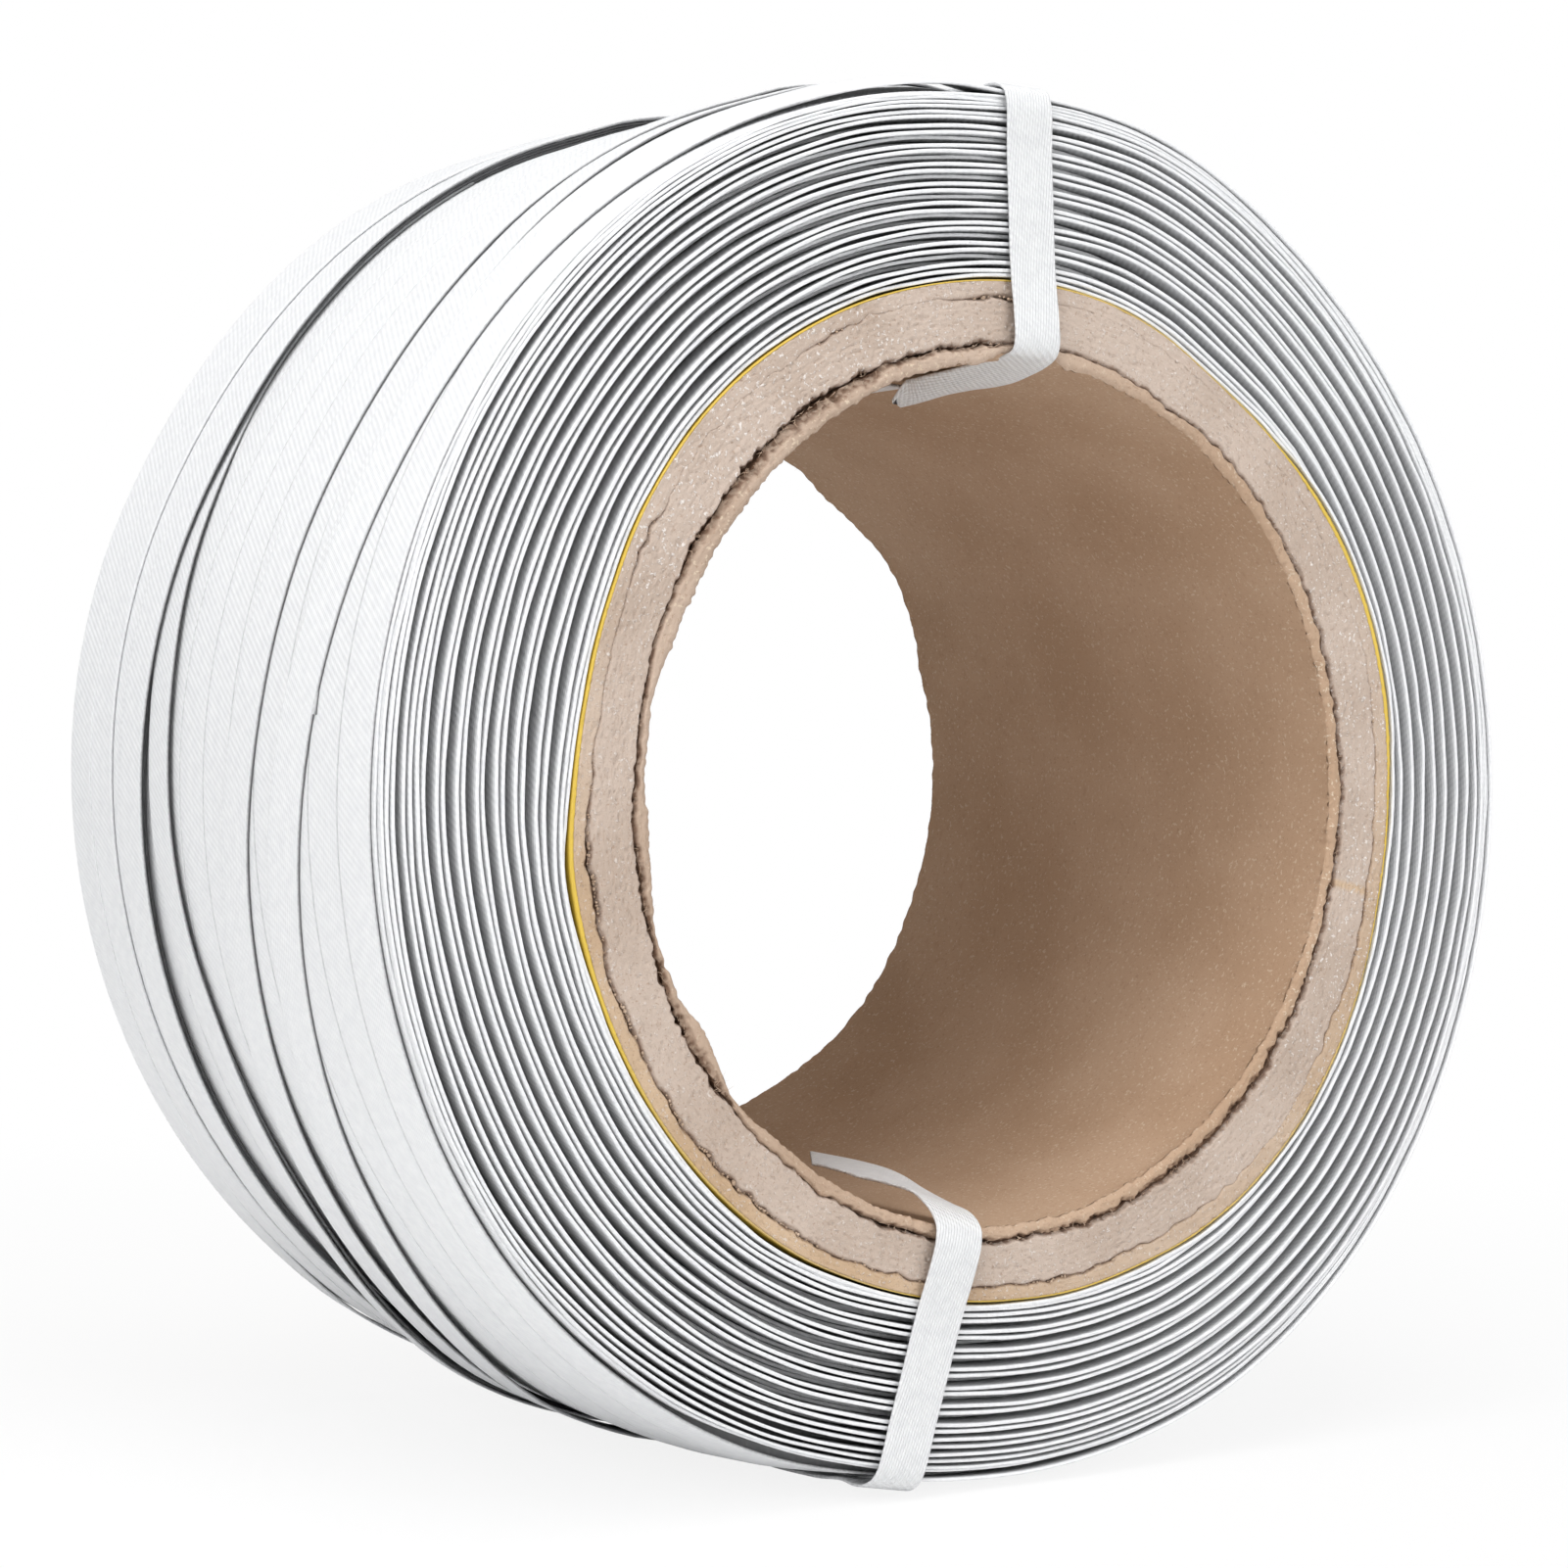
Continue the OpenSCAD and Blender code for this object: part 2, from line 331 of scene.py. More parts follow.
# ---- shader node groups ----
def new_group(name, **numbers):
    """Group that takes a Place and some numbers, and the sockets that give them inside it."""
    group = bpy.data.node_groups.new(name, "ShaderNodeTree")
    group.interface.new_socket("Place", in_out="INPUT", socket_type="NodeSocketVector")
    for label, value in numbers.items():
        label = label.replace("_", " ")
        socket = group.interface.new_socket(label, in_out="INPUT", socket_type="NodeSocketFloat")
        socket.default_value = value
    return group, group.nodes.new("NodeGroupInput").outputs


def end_group(group, **results):
    """Let a group put out its results."""
    for label in results:
        group.interface.new_socket(label, in_out="OUTPUT", socket_type="NodeSocketFloat")
    end = group.nodes.new("NodeGroupOutput")
    for label, value in results.items():
        group.links.new(value, end.inputs[label])
    return group


DASH_SLANT = 0.3  # how far a dash moves along from one row to the next
ROW_LEAN = 0.25  # how far a row moves across from one dash to the next


def emboss_group():
    """Rows of small slanted dashes pressed into a strap, from its place along and across,
    and its painted shade from the third number there, with the dips that deepen that shade."""
    group, given = new_group("strap_emboss", Dash_Length=1.7, Dash_Width=0.8)
    along_mm, across_mm, dark = split_node(group, given["Place"])
    along = math_node(group, "DIVIDE", along_mm, given["Dash Length"])
    across = math_node(group, "DIVIDE", across_mm, given["Dash Width"])
    full = 2 * math.pi
    slant = math_node(group, "ADD", along, times(group, across, DASH_SLANT))
    lean = math_node(group, "SUBTRACT", across, times(group, along, ROW_LEAN))
    dash = math_node(group, "SINE", times(group, slant, full))
    row = math_node(group, "SINE", times(group, lean, full))
    height = math_node(group, "ADD", dash, row)
    wear = ramp_node(group, noise_node(group, given["Place"], 0.35, 3.0), 0.3, 0.7)
    dips = ramp_node(group, height, -1.2, 0.6, 1.0, 0.0)
    return end_group(group, Height=height, Wear=wear, Dark=dark, Dips=dips)


PLIES_TO_METRE = 2200.0  # fine lines of the plies in a cut end, outwards
BREAKS_TO_RADIAN = 34.0  # where they break off, round the core
BREAKS_TO_METRE = 700.0  # and along it


def fibre_group():
    """Paper fibres and flecks in board, from a point in space."""
    group, given = new_group("paper_fibre", Fleck_Scale=1250.0, Blotch_Scale=40.0)
    place = given["Place"]
    x, y, z = split_node(group, place)
    reach = length_node(group, join_node(group, x, z))
    arcs = join_node(group, times(group, math_node(group, "ARCTAN2", z, x), BREAKS_TO_RADIAN),
                     times(group, reach, PLIES_TO_METRE),
                     times(group, y, BREAKS_TO_METRE))
    lines = ramp_node(group, noise_node(group, arcs, 1.0, 2.0), 0.58, 0.72)
    grit = ramp_node(group, noise_node(group, place, 1400.0, 2.0), 0.6, 0.72)
    specks = math_node(group, "MAXIMUM", times(group, lines, 0.5), grit)
    flecks = ramp_node(group, noise_node(group, place, given["Fleck Scale"], 2.0), 0.59, 0.7)
    blotches = ramp_node(group, noise_node(group, place, given["Blotch Scale"], 5.0), 0.35, 0.68)
    height = math_node(group, "MULTIPLY_ADD", flecks, 0.6, noise_node(group, place, 2500.0, 3.0, 0.6))
    return end_group(group, Flecks=flecks, Blotches=blotches, Specks=specks, Height=height)


EMBOSS = emboss_group()
FIBRE = fibre_group()


# ---- materials ----
def new_material(name, roughness, specular=0.5):
    material = bpy.data.materials.new(name)
    material.use_nodes = True
    tree = material.node_tree
    shader = tree.nodes["Principled BSDF"]
    shader.inputs["Roughness"].default_value = roughness
    shader.inputs["Specular IOR Level"].default_value = specular
    return material, tree, shader


def place_group(tree, group, place, **values):
    """Put a group into a material, with its own values."""
    inputs = {label.replace("_", " "): value for label, value in values.items()}
    return add_node(tree, "Group", {"Place": place, **inputs}, node_tree=group).outputs


def cover(tree, shader, colour, height, relief):
    """Give a shader its colour, and a bump that is relief mm high."""
    tree.links.new(colour, shader.inputs["Base Color"])
    node = add_node(tree, "Bump", {"Strength": 1.0, "Distance": relief * MM, "Height": height})
    tree.links.new(node.outputs["Normal"], shader.inputs["Normal"])


GAP_PAINTED_SHADE = shade(40, 40, 42)  # painted shade for the gaps between the turns and under their edges
CRACK_DARK = shade(112, 84, 66)  # painted shade in the cracks, in the brown of torn paper
SPECK_BROWN = shade(150, 118, 94)
BOARD_PALE = shade(199, 182, 169)
BOARD_DARK = shade(187, 169, 155)
TAN = (shade(204, 178, 150), shade(190, 162, 132))
KRAFT = (shade(188, 160, 135), shade(178, 149, 123))
FLECK_WHITE = shade(234, 226, 220)
FLECK_KRAFT = shade(212, 194, 172)
FILM_PALE = shade(226, 194, 78)
FILM_DARK = shade(208, 174, 62)
FILM_TORN = shade(190, 164, 118)  # where brown paper shows in place of the film


def strap_material(name, pale, dark, press):
    """Satin plastic. The place attribute holds how far along and across the strap a point
    is, in millimetres, and how much painted shade it has, for the gaps between turns and under
    their edges; that shade is painted darker in the emboss dips."""
    material, tree, shader = new_material(name, 0.5, 0.35)
    emboss = place_group(tree, EMBOSS, place_node(tree))
    colour = mix_node(tree, emboss["Wear"], pale, dark)
    # Painted shade: the colour goes towards the dark gap colour as far as the place says, more in the dips
    light = math_node(tree, "SUBTRACT", 0.85, emboss["Dark"], clamp=True)
    dips = times(tree, emboss["Dips"], times(tree, light, 0.5))
    deep = math_node(tree, "ADD", dips, 0.84)
    share = times(tree, emboss["Dark"], deep, clamp=True)
    cover(tree, shader, mix_node(tree, share, colour, GAP_PAINTED_SHADE), emboss["Height"], press)
    return material


def paper_material(name, tan, fleck, fleck_scale=1250.0, blotch_scale=40.0, relief=0.15):
    """Board or paper. The place attribute holds how tan it is, how much of the white flecks
    it has and how much painted shade it has, for the shade in the cracks, which goes towards
    the brown of torn paper."""
    material, tree, shader = new_material(name, 0.9, 0.15)
    tan_share, fleck_share, dark = split_node(tree, place_node(tree))
    fibre = place_group(tree, FIBRE, space_node(tree), Fleck_Scale=fleck_scale, Blotch_Scale=blotch_scale)
    ground = mix_node(tree, fibre["Blotches"], BOARD_PALE, BOARD_DARK)
    ground = mix_node(tree, tan_share, ground, mix_node(tree, fibre["Blotches"], *tan))
    ground = mix_node(tree, times(tree, fibre["Specks"], 0.45), ground, SPECK_BROWN)
    flecks = times(tree, fibre["Flecks"], fleck_share, clamp=True)
    colour = mix_node(tree, flecks, ground, fleck)
    # Painted shade in the cracks, mixed towards the crack colour
    share = times(tree, dark, 0.9, clamp=True)
    cover(tree, shader, mix_node(tree, share, colour, CRACK_DARK), fibre["Height"], relief)
    return material


def film_material(name):
    """Thin film, torn where the first number of the place attribute says."""
    material, tree, shader = new_material(name, 0.4)
    tone = noise_node(tree, space_node(tree), 60.0)
    torn = split_node(tree, place_node(tree))["X"]
    ground = mix_node(tree, tone, FILM_PALE, FILM_DARK)
    tree.links.new(mix_node(tree, torn, ground, FILM_TORN), shader.inputs["Base Color"])
    return material


# What each kind of piece is made of: its material, and the record's slot
STRAP = (strap_material("strap_white", shade(238, 239, 240), shade(232, 233, 235), 0.035), "strap")
TIE = (strap_material("tie_white", shade(234, 235, 236), shade(227, 228, 230), 0.08), "tie")
BOARD = (paper_material("grey_board", TAN, FLECK_WHITE), "grey_board")
LINING = (paper_material("kraft_lining", KRAFT, FLECK_KRAFT, 1100.0, 25.0, 0.06), "kraft_lining")
PLY = (paper_material("brown_ply", TAN, FLECK_WHITE), "brown_ply")
FILM = (film_material("yellow_film"), "yellow_film")

# ---- faces of the winding ----
GROUPS = 8  # proud pairs of turns in a face
GROUP_PITCH = 4.27  # from one pair to the next
FIRST_EDGE_R = 120.6  # radius of the first
EDGE_T = 0.85  # how thick a turn looks there
NEAR_CORE = 11  # how far out the core pulls the turns after it
SEAM_A = 260.4  # where the hoops start and end, under the lower tie
ring_angles = SEAM_A + np.linspace(0, 360, 301)
# How far the film stands out from the core
FILM_BULGE = [(0, 0.2), (15, 0.8), (35, 0.7), (48, 0.1), (60, 0), (145, 0), (165, 0.2), (190, 0.4),
    (205, 0.2), (220, 0), (340, 0)]
# How far behind the face the second turn of a pair lies, and the one after the sunken turn
SECOND_BACK = [(0, 2.6), (25, 2.4), (45, 0.8), (60, 0.2), (120, 0), (240, 0), (290, 0.3), (312, 1.8),
    (335, 2.6)]
THIRD_BACK = [(0, 6.5), (70, 6.5), (84, 4), (90, 2.6), (104, 2.6), (118, 3.6), (130, 6.5), (200, 6.5)]
# How far the pairs, the turns after them and those at the rim drift outwards
PAIR_DRIFT = [(0, 0.1), (30, 0), (60, -0.5), (80, -0.4), (97, 0), (120, 0), (150, -0.5), (180, -0.9),
    (195, -2), (210, -3), (235, -2.5), (270, -2.3), (300, -1.6), (330, -0.9)]
LATE_DRIFT = [(0, 0.2), (60, 0.2), (97, 0), (120, 0), (150, -0.9), (180, -1.6), (210, -2.3), (235, -2.5),
    (260, -2.4), (280, -2.2), (300, -1.6), (330, -0.6)]
RIM_DRIFT = [(0, 0), (97, 0), (120, -0.1), (150, 0.1), (180, -0.3), (210, -0.2), (235, -1.4), (262, -1.4),
    (300, -0.8), (330, 0)]
# How far behind the face the last turns under the rim lie
RIM_BACK = [(0, 0.4), (60, 0.4), (95, 0.3), (140, 1.4), (180, 2.3), (240, 2.2), (262, 1), (300, 0.6)]
HOOP_SOFT = 0.22  # how far a hoop's corners are rounded
HOOP_DEPTH = 9.0  # how deep it reaches
BODY_BACK = 8.5  # how far behind the faces the body of the winding starts, inside the hoops
# Shade is painted on the hoops' walls, darker deeper in the grooves, with a strength of its own on each wall
# A hoop's section: across its thickness, share of HOOP_SOFT, how far behind the edge, how much painted shade
HOOP_SECTION = [(-1, 0, HOOP_DEPTH, 0.7), (-1, 0, 3.2, 0.5), (-1, 0, 1.2, 0.38), (-1, 0, HOOP_SOFT, 0.15),
                (-1, 0.3, 0.3 * HOOP_SOFT, 0), (-1, 1, 0, 0), (1, -1, 0, 0), (1, -0.3, 0.3 * HOOP_SOFT, 0),
                (1, 0, HOOP_SOFT, 0.05), (1, 0, 1.5, 0.18), (1, 0, 3.5, 0.42), (1, 0, HOOP_DEPTH, 0.85)]


def front_turn_swing(r0):
    """How far a turn in the front face swings from its circle."""
    rim = round_through(FRONT_SWING, ring_angles)
    core = round_through(CORE_SWING, ring_angles) + round_through(FILM_BULGE, ring_angles)
    near = ease(clamp01(1 - (r0 - 120) / NEAR_CORE))
    pulled = np.minimum(0, core - rim) * near
    pushed = np.maximum(0, core - rim - (r0 - EDGE_T - CORE_R) + LAYER)
    return rim + pulled + pushed


def face_hoop(r0, shift, set_back, thick, side, seed):
    """One turn's edge in a face: a hoop of strap whose edge is set_back behind the face."""
    share = (r0 - CORE_R) / (RIM_R - CORE_R)
    if side < 0:
        swing = front_turn_swing(r0)
        x0 = -LEAN_X * share
        z0 = 0.4 * share
    else:
        spread = drum_r(ring_angles, HALF_W) - RIM_R - 0.5
        swing = (spread + 0.3 * ripple(ring_angles, 1, 5, 11)) * share
        x0 = 0
        z0 = RISE_Z * share
    r = r0 + shift + swing + 0.07 * ripple(ring_angles, 6, 40, seed)
    back = np.maximum(0, set_back + 0.12 * ripple(ring_angles, 3, 60, seed + 500))
    turn = np.radians(ring_angles)[:, None]
    across, lip, dy, dark = np.array(HOOP_SECTION[::-side]).T
    dr = across * thick / 2 + lip * HOOP_SOFT
    points = ring_points(r[:, None] + dr, turn, side * (HALF_W - back[:, None] - dy), x0, z0)
    return points, triples(turn * r0, dy + dr + 2, dark)


def face_edges(name, side):
    """All the turns' edges that show in a face, proud pairs with sunken ones between."""
    tables = (SECOND_BACK, THIRD_BACK, PAIR_DRIFT, LATE_DRIFT, RIM_DRIFT, RIM_BACK)
    second, third, drift, late, wide, under_rim = (round_through(table, ring_angles) for table in tables)
    hoops = []
    for g in range(GROUPS):
        r0 = FIRST_EDGE_R + GROUP_PITCH * g
        shift = drift * clamp01((r0 - 119) / 7)
        hoops += [(r0, shift, 0.15, EDGE_T), (r0 + 1.45, shift, 0.1 + second, EDGE_T),
                  (r0 + 2.35, shift, 6.6, EDGE_T)]
        if g > 0:
            hoops.append((r0 - 0.97, shift, third, EDGE_T))
    hoops += [(FIRST_EDGE_R - 1.35, 0, 0.5, EDGE_T), (153.9, late, 0.25, 0.8),
              (155.0, 0.8 * late, 0.5 + 0.4 * second, 0.8), (156.35, wide, 0.25, 0.72),
              (157.2, 0.5 * wide, 0.6, 0.72), (158.0, 0, 0.4 + 0.3 * under_rim, 0.68),
              (158.6, 0, 0.3 + under_rim, 0.6)]
    parts = []
    faces = []
    for n, hoop in enumerate(hoops):
        parts.append(face_hoop(*hoop, side, 7 * n + (1000 if side > 0 else 0)))
        faces += skin(len(ring_angles), len(HOOP_SECTION), n * len(ring_angles) * len(HOOP_SECTION))
    points, places = zip(*parts)
    return piece_from(name, np.concatenate(points), faces, np.concatenate(places))


def wound_layers():
    """The body of the winding under the outer turns, just behind the faces' edges."""
    angles = np.arange(0, 360, 1.2)
    ys = [BODY_BACK - HALF_W, -60, -40, -20, 0, 20, 34, 50, HALF_W - BODY_BACK]
    rows = [on_drum(angles, y, -0.1) for y in ys]
    for y in (ys[-1], ys[0]):
        r = CORE_R + 0.4 + round_through(CORE_SWING, angles) * (1 if y < 0 else 0)
        rows.append(ring_points(r, np.radians(angles), y))
    points = np.stack(rows, 1)
    faces = skin(len(angles), len(rows), loop=True)
    # The whole body is painted dark, 0.9 of the painted shade, as it shows only in shadow between the turns
    return piece_from("wound_layers", points, faces, points * [1, 1, 0] + [0, 0, 0.9], smooth=False)


for obj in (face_edges("front_turn_edges", -1), face_edges("rear_turn_edges", 1), wound_layers()):
    finish(obj, STRAP, "strap_pack")


# ---- outer turns ----
def angles_from(first, last):
    """Angles in steps of 2 degrees, with both ends."""
    return np.arange(first, last + 0.1, 2.0)


def outer_strap(name, angles, front_y, low, rear_low=None, gloom=1.0):
    """Strap laid over the wound layers. front_y is where its front side runs, and low and
    rear_low are how high that side and the rear one lie. Shade is painted on its edges and
    underside, as strong as gloom says, apart from where they lie open at a face."""
    low = np.broadcast_to(low, angles.shape).astype(float)
    rear_low = low if rear_low is None else rear_low
    run = np.radians(angles) * DRUM_R
    wide = STRAP_W * np.sqrt(1 + np.gradient(front_y, run) ** 2)
    length = run_length(run, front_y)
    across, up, dark = np.array(SECTION).T
    y = front_y[:, None] + across * wide[:, None]
    height = low[:, None] + (rear_low - low)[:, None] * across + STRAP_T * up
    open_edge = np.minimum(clamp01((y + HALF_W - 1) / 3), clamp01((HALF_W - 1 - y) / 3))
    place = triples(length[:, None], STRAP_W * across, dark * open_edge * gloom)
    points = on_drum(angles[:, None], y, height)
    obj = piece_from(name, points, skin(len(angles), len(SECTION)), place)
    finish(obj, STRAP, "strap_outer_turns")


TURN_PITCH = 13.54  # from one of the outer turns to the next
START_A = 90  # where they start
TURNS = 11  # how many there are
turn_angles = angles_from(START_A, START_A + 360 * TURNS)
helix_y = -HALF_W + 0.1 + TURN_PITCH * (turn_angles - START_A) / 360
outer_strap("outer_turns", turn_angles, np.minimum(helix_y, HALF_W - STRAP_W - 0.1), 0.05, gloom=0.6)

# ---- extra layers on the rear part ----
EXTRA_LAYER = 0.72  # from one of the extra layers to the next
STEP_SHELTER = 3.2  # how far the lower of them lie behind the top one's edge
# Where the top one's edge, the middle strap in it and the rear one run, and how far the last stands up
STEP_Y = [(0, 35), (99, 35), (118, 34.5), (130, 33.5), (142, 32), (154, 31.5), (165, 33), (175, 34.5),
    (186, 36), (200, 38), (220, 40), (232, 40.5), (242, 39), (255, 37), (290, 35)]
SECOND_Y = [(0, 54.5), (190, 54.5), (218, 56), (240, 56), (270, 54.5)]
THIRD_Y = [(0, 67.2), (180, 67.2), (200, 67.5), (230, 69), (238, 70.5), (262, 67.3)]
THIRD_LIFT = [(0, 0), (170, 0), (182, 0.3), (208, 0.3), (218, 0.05), (228, 0.5), (238, 0.9), (262, 0)]
# Shade is painted on a layer's front edge, in the hollow under the top layer's edge, and on its underside
# A layer's section: share of its width, height, and how much painted shade it has there
SHEET_SECTION = [(0, 0.1, 1), (0, 0.5, 1), (0.004, 0.63, 0.7), (0.05, 0.65, 0.1), (0.3, 0.65, 0),
    (0.7, 0.65, 0), (0.996, 0.63, 0), (1, 0.5, 0), (1, 0.1, 0), (0.996, 0.02, 0.6), (0.7, 0, 1), (0.3, 0, 1),
    (0.004, 0.02, 1)]
round_angles = angles_from(92, 452)


def raised_sheet(n):
    """Straps side by side in one of the extra layers, as one band."""
    front = round_through(STEP_Y, round_angles) + 0.5 * ripple(round_angles, 2, 9, 40 + n) + STEP_SHELTER
    low = LAYER + 0.05 + EXTRA_LAYER * n
    rear = HALF_W - 0.4 - 0.3 * (n % 2)
    wide = rear - front
    across, up, dark = np.array(SHEET_SECTION).T
    points = on_drum(round_angles[:, None], front[:, None] + across * wide[:, None], low + up)
    place = triples(np.radians(round_angles)[:, None] * DRUM_R, 45 * across, dark)
    return piece_from(f"raised_sheet_{n}", points, skin(len(round_angles), len(SHEET_SECTION)), place)


for n in range(3):
    finish(raised_sheet(n), STRAP, "strap_outer_turns")

top_low = LAYER + RAISE_T - 0.6
step_y, second_y, third_y, third_lift = (
    round_through(table, round_angles) for table in (STEP_Y, SECOND_Y, THIRD_Y, THIRD_LIFT))
outer_strap("raised_strap_front", round_angles, step_y, top_low, gloom=0.8)
outer_strap("raised_strap_middle", round_angles, second_y, top_low, gloom=0.3)
outer_strap("raised_strap_rear", round_angles, third_y, top_low + third_lift, top_low + 0.05, gloom=0.5)

# ---- loose last turns ----
# For each turn, Y says where its front side runs, LIFT how far that side stands up, and REAR how far
# its rear side does. TILT is how much higher than the front side the last turn's rear side stands.
LAST_Y = [(-100, -80.5), (88, -80.5), (104, -80.2), (112, -78), (118, -75), (126, -72.5), (140, -68),
    (153, -63.5), (165, -58), (176, -52), (188, -45), (199, -38), (210, -31), (220, -25.5), (228, -22),
    (236, -20), (250, -17), (262, -15), (300, -13), (450, -12)]
LAST_LIFT = [(-100, 0.05), (80, 0.05), (91, 0.3), (98, 1.8), (106, 1.5), (113, 1.1), (120, 0.6), (128, 0.2),
    (138, 0.08), (200, 0.1), (210, 0.4), (220, 0.8), (228, 1.3), (240, 1.7), (249, 1), (258, 0.3),
    (262, 0.05), (450, 0.05)]
LAST_TILT = [(112, 0), (124, 0.7), (190, 0.7), (202, 0)]
UNDER_Y = [(-100, -66), (90, -64), (125, -62.7), (143, -62.4), (160, -56.5), (172, -52.5), (185, -46),
    (196, -39.5), (204, -34.5)]
UNDER_LIFT = [(-100, 0.05), (92, 0.1), (100, 0.5), (115, 0.1), (204, 0.03)]
BEHIND_Y = [(-100, -50), (90, -48), (116, -47), (125, -48.3), (142, -50), (160, -52), (176, -53)]
BEHIND_LIFT = [(-100, 0.05), (92, 0.1), (104, 0.5), (118, 0.7), (130, 0.5), (142, 0.15), (152, 0.02),
    (176, 0)]
CROSSING_Y = [(-100, -38), (90, -37.5), (116, -36), (130, -34.5), (146, -33), (160, -30), (174, -26.5),
    (190, -18.5), (198, -14.5), (205, -11), (213, -8), (223, -5), (231, -3), (240, 0), (250, 4), (262, 8),
    (300, 12), (450, 14)]
CROSSING_LIFT = [(-100, 0.05), (92, 0.1), (104, 0.9), (125, 0.5), (140, 0.1), (190, 0.15), (205, 0.6),
    (213, 1.2), (223, 1.7), (231, 1.7), (240, 1.4), (250, 0.8), (258, 0.3), (262, 0.05), (450, 0.05)]
CROSSING_REAR = [(-100, 0.05), (92, 0.1), (104, 0.6), (125, 0.35), (140, 0.1), (190, 0.1), (205, 0.4),
    (213, 0.8), (223, 1.2), (231, 1.4), (240, 1.5), (250, 1.5), (257, 1.1), (262, 0.05), (450, 0.05)]
SLACK_Y = [(120, 36), (142, 35), (150, 33), (158, 28.5), (166, 25.5), (175, 22), (186, 20), (194, 17.3),
    (202, 13.5), (211, 11.5), (220, 11), (230, 13), (240, 15), (250, 17), (262, 19)]
SLACK_LIFT = [(120, 0), (150, 0.1), (160, 0.8), (175, 1.2), (200, 1.2), (211, 2), (222, 2.8), (232, 3.4),
    (238, 3.3), (246, 2.8), (253, 2), (258, 1.2), (262, 0.4)]
SLACK_REAR = [(120, 0), (150, 0.05), (160, 0.4), (175, 0.6), (200, 0.6), (211, 1), (222, 1.7), (232, 2.8),
    (238, 3.3), (246, 3.6), (253, 3.3), (258, 2.4), (262, 0.8)]
LOOSE_START = -100  # where they start, on the roll's right

loose_angles = angles_from(LOOSE_START, 450)
last_low = LAYER + through(LAST_LIFT, loose_angles)
outer_strap("last_turn", loose_angles, through(LAST_Y, loose_angles), last_low,
            last_low + through(LAST_TILT, loose_angles))

under_angles = angles_from(LOOSE_START, 204)
outer_strap("turn_under_last", under_angles, through(UNDER_Y, under_angles),
            LAYER + through(UNDER_LIFT, under_angles) - 0.02)

behind_angles = angles_from(LOOSE_START, 176)
outer_strap("turn_behind_last", behind_angles, through(BEHIND_Y, behind_angles),
            LAYER + through(BEHIND_LIFT, behind_angles) - 0.04, LAYER)

outer_strap("crossing_turn", loose_angles, through(CROSSING_Y, loose_angles),
            LAYER + through(CROSSING_LIFT, loose_angles) + 0.05,
            LAYER + through(CROSSING_REAR, loose_angles) + 0.05)

slack_angles = angles_from(120, 262)
slack_y, slack_lift, slack_rear = (
    through(table, slack_angles) for table in (SLACK_Y, SLACK_LIFT, SLACK_REAR))
outer_strap("slack_turn", slack_angles, slack_y, LAYER + slack_lift, LAYER + slack_rear)

# A turn that fills the gap under the slack one, a little behind its front side, with full painted shade on
# its edges
filler_angles = angles_from(200, 262)
filler_y = np.interp(filler_angles, slack_angles, slack_y) + 3
filler_low = np.interp(filler_angles, slack_angles, np.minimum(slack_lift, slack_rear)) - STRAP_T - 0.05
outer_strap("turn_under_slack", filler_angles, filler_y, LAYER + np.maximum(filler_low, 0), LAYER)

# ---- core ----
CORE_STEPS = 1440  # points round the core
CRACK_R = 103.3  # middle of the crack between the lining and the board
OUTER_CRACK_R = 114.4  # and of the one between the board and its outer ply
CRACK_DEPTH = 5.0  # how deep the cracks run
core_angles = np.arange(CORE_STEPS) * 360 / CORE_STEPS
ALONG_CORE = np.concatenate([[0.6, 1.4, 2.6, 3.8, CRACK_DEPTH, 9, 15], np.linspace(25, ROLL_W / 2, 5)])
SWING_RUN = 40  # how far in from the front end the core is out of round
CRUSH_RUN = 45  # and from the rear end it is crushed
WALL_START = 0.6  # how far behind the cut ends the walls start

# How wide the cracks stand open round the front end
LINING_CRACK = [(0, 1), (20, 0.8), (40, 0.6), (60, 0.5), (78, 0.5), (92, 0.7), (100, 1.4), (107, 1),
    (116, 2.4), (135, 2.6), (148, 1.4), (160, 0.7), (172, 0.7), (182, 1.1), (196, 1), (207, 1.6), (216, 2),
    (224, 0.5), (240, 0.4), (252, 1.1), (262, 1.2), (275, 0.9), (285, 1.2), (300, 1.7), (316, 1.6),
    (335, 1.3), (350, 1.1)]
OUTER_CRACK = [(0, 0.2), (12, 0.15), (25, 0), (80, 0), (90, 0.3), (94, 0.7), (101, 0.3), (106, 0),
    (114, 0.1), (120, 0.35), (126, 0), (146, 0), (153, 0.5), (160, 0.15), (172, 0.15), (184, 0.5),
    (190, 0.9), (198, 0.6), (215, 0.5), (235, 0.6), (250, 0.35), (262, 0.35), (280, 0.4), (292, 0.25),
    (305, 0.1), (318, 0), (332, 0.2), (345, 0.35)]
# and round the rear end
REAR_CRACK = [(0, 0.4), (70, 0.9), (140, 0.3), (200, 0.8), (290, 0.5)]
# How far the lining's lip stands in from the bore at the front
LIP_IN = [(0, 0.1), (60, 0), (83, 0), (86, -1.3), (94, -1.3), (97, 0.6), (99, 1), (108, 1.1), (120, 1.6),
    (134, 1.9), (147, 1.8), (157, 1.3), (163, 0.7), (168, -0.4), (178, -0.6), (187, 0.2), (193, -0.2),
    (198, -1.9), (205, -1.3), (209, -0.3), (213, 0.8), (217, 0), (222, -1.6), (229, -0.4), (240, 0),
    (257, -0.2), (262, -0.5), (267, 0), (290, 0.6), (310, 0.8), (330, 0.4)]
